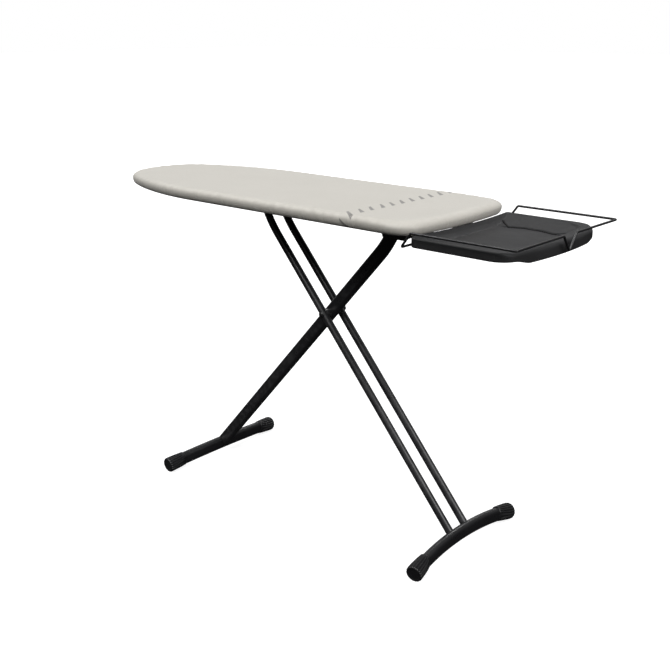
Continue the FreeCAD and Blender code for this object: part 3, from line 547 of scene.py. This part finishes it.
def make_pad():
    """Felt pad: flat on the steel panel, its top edge rolling off as the cover's does."""
    count = PAD_COUNT
    plan, normal, arc, period = sample_plan(half_plan(), count)
    skin = HALF_W - PAD_HI.y
    low, high = PAD_LO.z, PAD_HI.z
    spine = spine_points(plan)
    lumps = wave_noise(arc, period, 21, [(0.05, 0.5), (0.02, 0.3)])
    rings = []

    def ring(inset, z):
        shift = np.broadcast_to(inset + skin, count)[:, None]
        rings.append(np.column_stack([plan - normal * shift, np.broadcast_to(z, count)]))

    def middle(z, order):
        inner = plan - normal * (COVER_INNER + skin)
        for k in order:
            flat = inner + (spine - inner) * (k / PAD_RINGS)
            wavy = z + PAD_WAVE * np.sin(flat[:, 0] * 70 + k) * np.cos(flat[:, 1] * 90)
            rings.append(np.column_stack([flat, wavy]))

    middle(high - PAD_GAP, range(PAD_RINGS, -1, -1))
    soft = roll_off(plan[:, 0])
    edge = EDGE_W + SOFT_W * soft
    crease = CREASE_H + SOFT_H * soft
    last = np.arccos(1 - (high - low - 0.0012) / crease)
    for k in range(EDGE_STEPS + 1):
        angle = last * k / EDGE_STEPS
        lump = PAD_WAVE * (1 + lumps) * (k / EDGE_STEPS)
        ring(edge * (1 - np.sin(angle)) + lump, high - PAD_GAP - crease * (1 - np.cos(angle)))
    foot = edge * (1 - np.sin(last)) + 0.0008
    ring(foot, low + PAD_LIFT)
    ring(foot + PAD_TUCK, low + PAD_LIFT)
    middle(low + PAD_MIDDLE_LIFT, range(PAD_RINGS + 1))
    pad = new_mesh("felt_pad", np.vstack(rings), ring_faces(len(rings), count))
    weld(pad)
    return pad


# ---- foot caps ----------------------------------------------------------------------
BAR_HALF = 0.229           # half the length of a foot bar, without its caps
CAP_R = 0.0235
CAP_PROFILE = (            # back from the end, half height, half width, share of rib depth
    (0.0620, 0.0206, 0.0126, 0.0), (0.0622, 0.0213, 0.0142, 0.0),
    (0.0612, 0.0219, 0.0154, 0.0), (0.0590, 0.0220, 0.0158, 0.15),
    (0.0520, 0.0223, 0.0178, 0.55), (0.0460, 0.0226, 0.0193, 0.9),
    (0.0360, 0.0229, 0.0210, 1.0), (0.0280, 0.0230, 0.0222, 1.0),
    (0.0200, 0.0234, 0.0230, 1.0), (0.0120, 0.0235, 0.0235, 1.0),
    (0.0060, 0.0235, 0.0235, 1.0), (0.0044, 0.0234, 0.0234, 0.9),
    (0.0024, 0.0228, 0.0228, 0.6), (0.0011, 0.0218, 0.0218, 0.25),
    (0.0003, 0.0206, 0.0206, 0.0), (0.0000, 0.0192, 0.0192, 0.0),
    (0.0004, 0.0182, 0.0182, 0.0), (0.0014, 0.0176, 0.0176, 0.0),
    (0.0018, 0.0160, 0.0160, 0.0), (0.0020, 0.0080, 0.0080, 0.0),
    (0.0020, 0.0003, 0.0003, 0.0))
RIB_COUNT = 18
RIB_DEPTH = 0.0032
POINTS_PER_RIB = 10
CAP_SINK = 0.0004          # the caps' round ends go this far below the floor ...
SOLE_Z = 0.00015           # ... and are flattened here, just above it
SOLE_BACK = 0.005          # middle of the flat, back from the bar's end
REAR_BAR = (-0.487, 0.011)     # place along the board from the crossing, arch
FRONT_BAR = (0.464, 0.024)


def bar_end(spread, arch):
    """Near end of a foot bar and the direction it points, as in the CAD."""
    lean = Vector((-spread, 0, CROSS.z)).normalized()
    tilt = math.atan2(2 * arch * lean.z, BAR_HALF)
    z = CAP_R * math.cos(tilt) - CAP_SINK - SOLE_BACK * math.sin(tilt)
    end = Vector((CROSS.x + spread - lean.x * arch, -BAR_HALF, z))
    beta = 2 * math.atan2(arch, BAR_HALF)
    return end, Vector((0, -math.cos(beta), 0)) - lean * math.sin(beta)


def make_cap(name, spread, arch, far):
    """Oval sleeve that widens to a round, ribbed end with a recessed face."""
    end, outward = bar_end(spread, arch)
    up = (Vector((0, 0, 1)) - outward * outward.z).normalized()
    side = up.cross(outward)
    count = RIB_COUNT * POINTS_PER_RIB
    verts = []
    for back, half_h, half_w, rib in CAP_PROFILE:
        for k in range(count):
            phi = TAU * k / count
            groove = RIB_DEPTH * rib * (0.5 - 0.5 * math.cos(RIB_COUNT * phi)) ** 1.4
            w = half_w - groove
            straight = (half_h - half_w) * math.tanh(6 * math.sin(phi))
            offset = up * (straight + w * math.sin(phi)) + side * (w * math.cos(phi))
            point = end - outward * back + offset
            point.z = max(point.z, SOLE_Z)
            if far:
                point.y = -point.y
            verts.append(point)
    faces = ring_faces(len(CAP_PROFILE), count)
    if not far:
        faces = [f[::-1] for f in faces]
    last = (len(CAP_PROFILE) - 1) * count
    centre = [last + k for k in range(count)]
    faces.append(tuple(centre if not far else centre[::-1]))
    return new_mesh(name, verts, faces)


def make_caps():
    """Four ribbed caps, each in place of the CAD's."""
    rows = (("rear_foot_cap", *REAR_BAR, "rear_leg"),
            ("front_foot_cap", *FRONT_BAR, "front_leg"))
    for node, spread, arch, body in rows:
        for where in ("near", "far"):
            cap = make_cap(f"ribbed_{node}_{where}", spread, arch, where == "far")
            finish_with(cap, "black_plastic")
            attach(cap, body)
            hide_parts(f"{node}_{where}")


# ---- the iron tray ------------------------------------------------------------------
TRAY_COUNT = 640
TRAY_RINGS = 120
HOLLOW = 0.018             # how far the tray's ends reach round the board's blunt end
TRAY_L = END_X - 0.001     # middle of the hollow edge
TRAY_R = TRAY_HI.x
TRAY_W = TRAY_HI.y
NEAR_CORNER_R = 0.050      # the two outer corners
FAR_CORNER_R = 0.074
BACK_CORNER_R = 0.016
OUTER_R = 1.0              # the slightly curved outer end
RIM_Z = TRAY_HI.z
FLOOR_Z = RIM_Z - 0.014
DISH = RIM_Z - FLOOR_Z
SKIRT_Z = RIM_Z - 0.022    # bottom of the side walls
DEEP_Z = TRAY_LO.z         # bottom of the outer end's wall
DEEP_HALF = 0.186          # that wall's half length, and the rise at each of its ends
DEEP_RISE = 0.058
WALL = 0.0028
TRAY_SKIN = 0.0026         # from the dish's top to its underside ...
BY_WALL = 0.0016           # ... and what is added to it beside the walls
LIP = 0.0030               # rounding of the rim, width and height
SHOULDER_W = 0.015         # what the outer end's rounding adds to them
SHOULDER_H = 0.0075
LEFT_SLOPE = (0.004, 0.027)        # start and length, inwards from the outline
NEAR_SLOPE = (0.006, 0.013)
RIGHT_SLOPE = (0.031, 0.022)
FAR_START = 0.005
FAR_SHARE = 0.78           # of the dish's depth, at the foot of the far slope
FAR_STEP = 28              # how much steeper the small step at that foot is
GROOVE_W, GROOVE_DEPTH = 0.0020, 0.0030
GROOVE_SHADE_W = 0.0016            # width of the painted shade line along the groove
BACK_LIFT, BACK_LIFT_W = 0.0022, 0.018     # the hollow edge turns up under the cover
FOOT_LINE = [(CROSS.x + x, y) for x, y in (   # foot of the broad far slope
    (0.458, 0.1435), (0.5016, 0.0985), (0.5395, 0.1120), (0.5870, 0.1100),
    (0.6270, 0.0975), (0.6376, 0.0976), (0.6705, 0.1310))]


def tray_half(corner_r):
    """Points from the middle of the tray's hollow edge to the middle of its outer end."""
    hollow_r = (HOLLOW ** 2 + TRAY_W ** 2) / (2 * HOLLOW)
    small = BACK_CORNER_R
    end_x = TRAY_R - OUTER_R
    corner_y = TRAY_W - corner_r
    corner_x = end_x + math.sqrt((OUTER_R - corner_r) ** 2 - corner_y ** 2)
    turn = math.atan2(corner_y, corner_x - end_x)
    back_y = TRAY_W - small
    back_x = TRAY_L - hollow_r + math.sqrt((hollow_r + small) ** 2 - back_y ** 2)
    lean = math.asin(back_y / (hollow_r + small))
    points = []
    for k in range(200):
        angle = lean * k / 199
        points.append((TRAY_L - hollow_r * (1 - math.cos(angle)), hollow_r * math.sin(angle)))
    for k in range(1, 61):
        angle = math.pi + lean - (math.pi / 2 + lean) * k / 60
        points.append((back_x + small * math.cos(angle), back_y + small * math.sin(angle)))
    points.append((corner_x, TRAY_W))
    for k in range(1, 61):
        angle = math.pi / 2 + (turn - math.pi / 2) * k / 60
        points.append((corner_x + corner_r * math.cos(angle),
                       corner_y + corner_r * math.sin(angle)))
    for k in range(1, 201):
        angle = turn * (1 - k / 200)
        points.append((end_x + OUTER_R * math.cos(angle), OUTER_R * math.sin(angle)))
    return np.array(points)


def tray_outline():
    """Points and outward normals round the tray, from the middle of its left edge."""
    near = tray_half(NEAR_CORNER_R)[::-1][1:-1] * (1, -1)
    loop = np.vstack([tray_half(FAR_CORNER_R), near])
    closed = np.vstack([loop, loop[:1]])
    arc = np.concatenate([[0], np.cumsum(np.hypot(*np.diff(closed, axis=0).T))])
    at = np.arange(TRAY_COUNT) * arc[-1] / TRAY_COUNT
    p = np.stack([np.interp(at, arc, closed[:, 0]), np.interp(at, arc, closed[:, 1])], 1)
    tangent = np.roll(p, -1, axis=0) - np.roll(p, 1, axis=0)
    n = np.stack([-tangent[:, 1], tangent[:, 0]], 1)
    n /= np.linalg.norm(n, axis=1)[:, None]
    return p, n


def line_distance(p, line):
    """Distance from each point to an open polyline."""
    best = np.full(len(p), 1.0)
    for a, b in zip(line, line[1:]):
        a, b = np.array(a), np.array(b)
        t = np.clip(((p - a) @ (b - a)) / ((b - a) @ (b - a)), 0, 1)
        best = np.minimum(best, np.linalg.norm(p - a - t[:, None] * (b - a), axis=1))
    return best


def soft_max(values, k=0.0009):
    """Largest of the values, rounded where two of them meet."""
    top = np.max(values, axis=0)
    return top + k * np.log(np.sum(np.exp((np.array(values) - top) / k), axis=0))


def slope(distance, start, length):
    """Height of a slope that leads from the rim to the floor and on below it."""
    return RIM_Z - np.clip((distance - start) / length, 0, 2) * DISH


def tray_height(p, right_edge):
    """Height of the tray's dished top at each point."""
    x, y = p[:, 0], p[:, 1]
    left_x = TRAY_L - HOLLOW * (y / TRAY_W) ** 2
    left = slope(x - left_x, *LEFT_SLOPE)
    near = slope(y + TRAY_W, *NEAR_SLOPE)
    feet = np.array(FOOT_LINE[1:-1])
    foot = np.interp(x, feet[:, 0], feet[:, 1])
    rise = (TRAY_W - FAR_START - y) / (TRAY_W - FAR_START - foot)
    beyond = np.maximum(feet[0, 0] - x, x - feet[-1, 0])
    share = FAR_SHARE + (1 - FAR_SHARE) * smooth(beyond / 0.030)
    step = np.clip((rise - 1) * FAR_STEP, 0, 1)
    far = RIM_Z - (share * np.clip(rise, 0, 1) + step) * DISH
    away = np.full(len(p), 1.0)
    for a in right_edge[::3]:
        away = np.minimum(away, np.hypot(x - a[0], y - a[1]))
    right = slope(away, *RIGHT_SLOPE)
    floor = np.full(len(p), FLOOR_Z)
    z = soft_max([left, near, far, right, floor])
    groove = np.exp(-(line_distance(p, FOOT_LINE) / GROOVE_W) ** 2)
    return np.minimum(z, RIM_Z) - GROOVE_DEPTH * groove


def make_tray():
    """Dished tray: top, rounded rim, outer wall, inner wall and underside, ring by ring."""
    plan, normal = tray_outline()
    right_edge = plan[normal[:, 0] > 0.3]
    to_right = smooth((normal[:, 0] - 0.45) / 0.5)
    shoulder_w = LIP + SHOULDER_W * to_right
    shoulder_h = LIP + SHOULDER_H * to_right
    drop = smooth((DEEP_HALF - np.abs(plan[:, 1])) / DEEP_RISE) * (normal[:, 0] > 0.5)
    bottom = SKIRT_Z - (SKIRT_Z - DEEP_Z) * drop
    centre = np.array([TRAY_L + 0.13, -0.03])
    rings = []

    def ring(points, z):
        rings.append(np.column_stack([points, z]))

    inner_start = plan - normal * (shoulder_w + 0.0005)[:, None]
    for k in range(TRAY_RINGS + 1):
        p = inner_start + (centre - inner_start) * (1 - k / TRAY_RINGS)
        ring(p, tray_height(p, right_edge))
    for k in range(9):
        angle = math.pi / 2 * k / 8
        inset = shoulder_w * (1 - math.sin(angle))
        ring(plan - normal * inset[:, None], RIM_Z - shoulder_h * (1 - math.cos(angle)))
    top = RIM_Z - shoulder_h
    for t in (0.25, 0.5, 0.75, 0.93):
        ring(plan, top + (bottom - top) * t)
    inside = plan - normal * WALL
    ring(plan - normal * 0.0007, bottom + 0.0001)
    ring(plan - normal * (WALL - 0.0005), bottom + 0.0001)
    ring(inside, bottom + 0.0008)
    ring(inside, np.minimum(top, FLOOR_Z) - WALL)
    for k in range(1, 25):
        p = inside + (centre - inside) * (k / 24)
        ring(p, tray_height(p, right_edge) - TRAY_SKIN - BY_WALL * (k < 3))
    verts = np.vstack(rings)
    from_left = verts[:, 0] - TRAY_L + HOLLOW * (verts[:, 1] / TRAY_W) ** 2
    verts[:, 2] += BACK_LIFT * (1 - smooth(from_left / BACK_LIFT_W))
    tray = new_mesh("moulded_iron_tray", verts, ring_faces(len(rings), TRAY_COUNT))
    weld(tray)
    # painted shade: an attribute, 1 along the foot of the far slope, that the tray's material turns near-black
    points = np.array([v.co[:2] for v in tray.data.vertices])
    painted_groove_shade = np.exp(-(line_distance(points, FOOT_LINE) / GROOVE_SHADE_W) ** 2)
    layer = tray.data.attributes.new("painted_groove_shade", "FLOAT", "POINT")
    layer.data.foreach_set("value", painted_groove_shade.astype(np.float32))
    return tray


# ---- the floor, the light and the camera --------------------------------------------
SUNS = (                   # name, azimuth, elevation, spread, strength
    ("key", 5, 47, 20, 1.55),
    ("over", -64, 50, 18, 1.0),
    ("back", -160, 40, 8, 0.17),
    ("side", 84, 28, 45, 1.75),
)
SKY_LIGHT = (0.02, 0.42)   # at the horizon, overhead
BACK_WALL = (-0.66, 0.75, 0.0)     # direction of the bright wall behind the board
WALL_LIGHT = 0.46
FLOOR_GLOW = 0.80
CAMERA_FROM_CROSS = 1.765  # along the board; the rest is in the frame
CAMERA_Y, CAMERA_Z = -1.995, 1.362
CAMERA_TILT = 17.8         # degrees down
CAMERA_HEADING = 41.31
CAMERA_LENS = 52.32
SENSOR = 36.0


def make_floor():
    """White floor: bright to the camera, with a soft shadow, and a weak bounce."""
    bpy.ops.mesh.primitive_plane_add(size=80, location=(0, 0, 0))
    floor = bpy.context.object
    floor.name = "studio_floor"
    n = Nodes("pale_floor")
    n.put(n.bsdf, "Base Color", colour(0.5, 0.5, 0.5))
    n.put(n.bsdf, "Roughness", 1.0)
    n.put(n.bsdf, "Specular IOR Level", 0.0)
    n.put(n.bsdf, "Emission Color", colour(1, 1, 1))
    n.put(n.bsdf, "Emission Strength", FLOOR_GLOW)
    dim = n.add("ShaderNodeBsdfDiffuse")
    n.put(dim, "Color", colour(0.02, 0.02, 0.02))
    path = n.add("ShaderNodeLightPath")
    blend = n.add("ShaderNodeMixShader")
    n.put(blend, "0", path.outputs["Is Camera Ray"])
    n.put(blend, "1", dim.outputs[0])
    n.put(blend, "2", n.bsdf.outputs[0])
    out = n.tree.nodes["Material Output"]
    n.put(out, "Surface", blend.outputs[0])
    floor.data.materials.append(n.mat)


def sun(name, azimuth, elevation, spread, strength):
    """Soft light from a direction; azimuth 0 comes from -Y, 90 from +X."""
    data = bpy.data.lights.new(name, "SUN")
    data.energy = strength
    data.angle = math.radians(spread)
    obj = bpy.data.objects.new(name, data)
    az, el = math.radians(azimuth), math.radians(elevation)
    source = Vector((math.sin(az) * math.cos(el), -math.cos(az) * math.cos(el), math.sin(el)))
    obj.location = source * 5
    obj.rotation_euler = source.to_track_quat("Z", "Y").to_euler()
    bpy.context.scene.collection.objects.link(obj)


def make_world():
    """Plain white studio: bright overhead and on the wall behind the board."""
    world = bpy.data.worlds.new("studio")
    world.use_nodes = True
    tree = world.node_tree
    add = tree.nodes.new
    link = tree.links.new
    back = tree.nodes["Background"]
    place = add("ShaderNodeTexCoord")
    split = add("ShaderNodeSeparateXYZ")
    path = add("ShaderNodeLightPath")
    pick = add("ShaderNodeMix")
    link(place.outputs["Generated"], split.inputs[0])
    facing = add("ShaderNodeVectorMath")
    facing.operation = "DOT_PRODUCT"
    link(place.outputs["Generated"], facing.inputs[0])
    facing.inputs[1].default_value = BACK_WALL

    def span(value, low, high, out_low, out_high):
        node = add("ShaderNodeMapRange")
        node.interpolation_type = "SMOOTHSTEP"
        link(value, node.inputs["Value"])
        for key, v in (("From Min", low), ("From Max", high),
                       ("To Min", out_low), ("To Max", out_high)):
            node.inputs[key].default_value = v
        return node.outputs[0]

    def combine(operation, a, b):
        node = add("ShaderNodeMath")
        node.operation = operation
        link(a, node.inputs[0])
        link(b, node.inputs[1])
        return node.outputs[0]

    sky = span(split.outputs[2], 0.0, 0.9, *SKY_LIGHT)
    wall = span(facing.outputs["Value"], 0.35, 0.9, 0.0, 1.0)
    low = span(split.outputs[2], 0.25, 0.75, WALL_LIGHT, 0.0)
    total = combine("ADD", sky, combine("MULTIPLY", wall, low))
    link(path.outputs["Is Camera Ray"], pick.inputs[0])
    link(total, pick.inputs[2])
    pick.inputs[3].default_value = 1.0
    link(pick.outputs[0], back.inputs["Strength"])
    back.inputs["Color"].default_value = colour(1, 1, 1)
    bpy.context.scene.world = world
    for row in SUNS:
        sun(*row)


def make_camera():
    data = bpy.data.cameras.new("camera")
    data.sensor_width = SENSOR
    data.lens = CAMERA_LENS
    camera = bpy.data.objects.new("camera", data)
    camera.location = (CROSS.x + CAMERA_FROM_CROSS, CAMERA_Y, CAMERA_Z)
    camera.rotation_euler = (math.radians(90 - CAMERA_TILT), 0, math.radians(CAMERA_HEADING))
    bpy.context.scene.collection.objects.link(camera)
    bpy.context.scene.camera = camera


# ---- build --------------------------------------------------------------------------
dress_cad_nodes()
cover, cover_run = make_cover()
finish_with(cover, "cover_fabric")
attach(cover, "board")
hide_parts("board_cover")

pad = make_pad()
finish_with(pad, "pad_foam")
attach(pad, "board")
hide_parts("foam_pad")

tray = make_tray()
finish_with(tray, "tray_plastic")
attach(tray, "board")
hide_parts("iron_tray")

make_caps()

make_floor()
make_world()
make_camera()
bpy.context.scene.view_settings.view_transform = "Standard"
